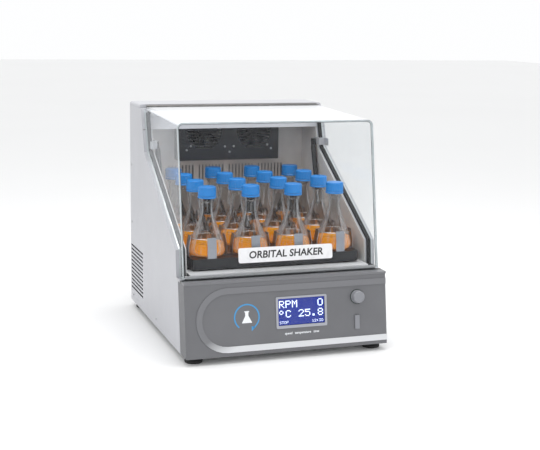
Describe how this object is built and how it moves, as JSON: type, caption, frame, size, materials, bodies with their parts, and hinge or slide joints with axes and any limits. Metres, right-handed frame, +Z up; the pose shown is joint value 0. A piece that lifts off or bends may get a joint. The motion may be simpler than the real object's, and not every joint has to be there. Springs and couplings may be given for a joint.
{
  "type": "orbital shaker",
  "caption": "Benchtop incubator shaker with a hinged clear lid, gas struts, display and knob on a sloping fascia, and a crank-driven platform of sprung flask clamps.",
  "frame": {"origin": "on the bench, under the middle of the cabinet's overall box", "axes": "+Z up, -Y towards the user at the fascia, +X to the user's right"},
  "size_m": [0.64, 0.7598, 0.715],
  "materials": {
    "white_paint": "smooth powder coat, slightly glossy",
    "liner_grey": "satin stainless sheet",
    "fascia_grey": "satin moulded plastic",
    "silver_trim": "satin silver",
    "zinc_steel": "zinc plated",
    "black_steel": "semi-matt black powder coat",
    "black_rubber": "matt black rubber",
    "black_plastic": "satin black plastic",
    "clear_acrylic": "clear polished acrylic",
    "label_white": "glossy white plate",
    "display_blue": "backlit blue display window",
    "knob_grey": "satin grey plastic",
    "clamp_grey": "satin steel sheet",
    "cast_iron": "painted casting",
    "board_green": "solder-masked circuit board",
    "heater_steel": "heat-tinted steel sheath"
  },
  "bodies": {
    "cabinet": {"accent_strip": "silver_trim", "base_pan": "zinc_steel", "chamber_liner": "liner_grey", "control_board": "board_green", "deck": "white_paint", "deck_seal": "black_rubber", "display_bezel": "knob_grey", "display_module": "display_blue", "drive_belt": "black_rubber", "drive_cover": "black_steel", "drive_frame": "cast_iron", "fan_housing": "black_steel", "fan_motors": "zinc_steel", "fascia": "fascia_grey", "heater_element": "heater_steel", "hinge_header": "white_paint", "hinge_leaf_fixed": "zinc_steel", "lid_gasket": "black_rubber", "mains_inlet": "black_plastic", "motor": "black_steel", "rear_panel": "white_paint", "rim_frame": "white_paint", "side_panel_left": "white_paint", "side_panel_right": "white_paint", "strut_stud_left": "silver_trim", "strut_stud_right": "silver_trim", "top_panel": "white_paint"},
    "lid": {"lid_wrap": "clear_acrylic", "lid_front": "clear_acrylic", "name_plate": "label_white", "lid_corner_block_left": "knob_grey", "lid_corner_block_right": "knob_grey", "hinge_leaf_lid": "zinc_steel", "strut_ear_left": "knob_grey", "strut_ear_right": "knob_grey"},
    "strut_rod_left_body": {"strut_rod_left": "zinc_steel"},
    "strut_rod_right_body": {"strut_rod_right": "zinc_steel"},
    "strut_cylinder_left_body": {"strut_cylinder_left": "black_plastic"},
    "strut_cylinder_right_body": {"strut_cylinder_right": "black_plastic"},
    "main_crank": {"crank_main": "zinc_steel", "drive_pulley": "cast_iron"},
    "idler_crank_left": {"crank_left": "zinc_steel"},
    "idler_crank_right": {"crank_right": "zinc_steel"},
    "shaking_platform": {"platform": "black_steel", "platform_carrier": "cast_iron", "clamp_row_1": "clamp_grey", "clamp_row_2": "clamp_grey", "clamp_row_3": "clamp_grey", "clamp_row_4": "clamp_grey"},
    "motor_rotor": {"motor_pulley": "zinc_steel"},
    "fan_left": {"fan_wheel_left": "black_plastic"},
    "fan_right": {"fan_wheel_right": "black_plastic"},
    "encoder_push": {"encoder_plunger": "zinc_steel"},
    "knob": {"control_knob": "knob_grey"},
    "button": {"start_button": "knob_grey"},
    "rocker": {"power_rocker": "black_plastic"},
    "foot_fl": {"foot_front_left": "black_rubber"},
    "foot_fr": {"foot_front_right": "black_rubber"},
    "foot_rl": {"foot_rear_left": "black_rubber"},
    "foot_rr": {"foot_rear_right": "black_rubber"}
  },
  "joints": [
    {"name": "lid_hinge", "type": "hinge", "parent": "cabinet", "child": "lid", "pos_m": [0, 0.214, 0.7098], "axis": [-1, 0, 0], "range_deg": [0, 60]},
    {"name": "strut_swing_left", "type": "hinge", "parent": "cabinet", "child": "strut_rod_left_body", "pos_m": [-0.273, 0.109, 0.3848], "axis": [1, 0, 0], "range_deg": [0, 21.3]},
    {"name": "strut_slide_left", "type": "slide", "parent": "strut_rod_left_body", "child": "strut_cylinder_left_body", "axis": [0, 0.3022, 0.9532], "range_m": [0, 0.0854]},
    {"name": "strut_swing_right", "type": "hinge", "parent": "cabinet", "child": "strut_rod_right_body", "pos_m": [0.273, 0.109, 0.3848], "axis": [1, 0, 0], "range_deg": [0, 21.3]},
    {"name": "strut_slide_right", "type": "slide", "parent": "strut_rod_right_body", "child": "strut_cylinder_right_body", "axis": [0, 0.3022, 0.9532], "range_m": [0, 0.0854]},
    {"name": "main_crank_spin", "type": "hinge", "parent": "cabinet", "child": "main_crank", "pos_m": [0, -0.1077, 0], "axis": [0, 0, 1], "continuous": true},
    {"name": "platform_orbit", "type": "hinge", "parent": "main_crank", "child": "shaking_platform", "pos_m": [0, -0.095, 0], "axis": [0, 0, 1], "continuous": true},
    {"name": "idler_spin_left", "type": "hinge", "parent": "cabinet", "child": "idler_crank_left", "pos_m": [-0.15, 0.0723, 0], "axis": [0, 0, 1], "continuous": true},
    {"name": "idler_spin_right", "type": "hinge", "parent": "cabinet", "child": "idler_crank_right", "pos_m": [0.15, 0.0723, 0], "axis": [0, 0, 1], "continuous": true},
    {"name": "motor_spin", "type": "hinge", "parent": "cabinet", "child": "motor_rotor", "pos_m": [0, 0.125, 0], "axis": [0, 0, 1], "continuous": true},
    {"name": "fan_spin_left", "type": "hinge", "parent": "cabinet", "child": "fan_left", "pos_m": [-0.088, 0.28, 0.617], "axis": [0, 1, 0], "continuous": true},
    {"name": "fan_spin_right", "type": "hinge", "parent": "cabinet", "child": "fan_right", "pos_m": [0.088, 0.28, 0.617], "axis": [0, 1, 0], "continuous": true},
    {"name": "knob_press", "type": "slide", "parent": "cabinet", "child": "encoder_push", "axis": [0, 0.9901, -0.14], "range_m": [0, 0.0014], "stiffness_N_per_m": 600},
    {"name": "knob_turn", "type": "hinge", "parent": "encoder_push", "child": "knob", "pos_m": [0.2215, -0.35829, 0.17052], "axis": [0, -0.9901, 0.14], "continuous": true},
    {"name": "button_press", "type": "slide", "parent": "cabinet", "child": "button", "axis": [0, 0.9901, -0.14], "range_m": [0, 0.0014], "stiffness_N_per_m": 600},
    {"name": "rocker_tip", "type": "hinge", "parent": "cabinet", "child": "rocker", "pos_m": [0.16, 0.3692, 0.0745], "axis": [1, 0, 0], "range_deg": [0, 24]},
    {"name": "foot_screw_fl", "type": "slide", "parent": "cabinet", "child": "foot_fl", "axis": [0, 0, -1], "range_m": [0, 0.01]},
    {"name": "foot_screw_rl", "type": "slide", "parent": "cabinet", "child": "foot_rl", "axis": [0, 0, -1], "range_m": [0, 0.01]},
    {"name": "foot_screw_fr", "type": "slide", "parent": "cabinet", "child": "foot_fr", "axis": [0, 0, -1], "range_m": [0, 0.01]},
    {"name": "foot_screw_rr", "type": "slide", "parent": "cabinet", "child": "foot_rr", "axis": [0, 0, -1], "range_m": [0, 0.01]}
  ],
  "couplings": [
    {"joint": "strut_swing_left", "follows": "lid_hinge", "ratio": 0.35343},
    {"joint": "strut_slide_left", "follows": "lid_hinge", "m_per_rad": 0.081341},
    {"joint": "idler_spin_left", "follows": "main_crank_spin", "ratio": 1},
    {"joint": "strut_swing_right", "follows": "lid_hinge", "ratio": 0.35343},
    {"joint": "strut_slide_right", "follows": "lid_hinge", "m_per_rad": 0.081341},
    {"joint": "idler_spin_right", "follows": "main_crank_spin", "ratio": 1},
    {"joint": "platform_orbit", "follows": "main_crank_spin", "ratio": -1},
    {"joint": "motor_spin", "follows": "main_crank_spin", "ratio": 3}
  ]
}
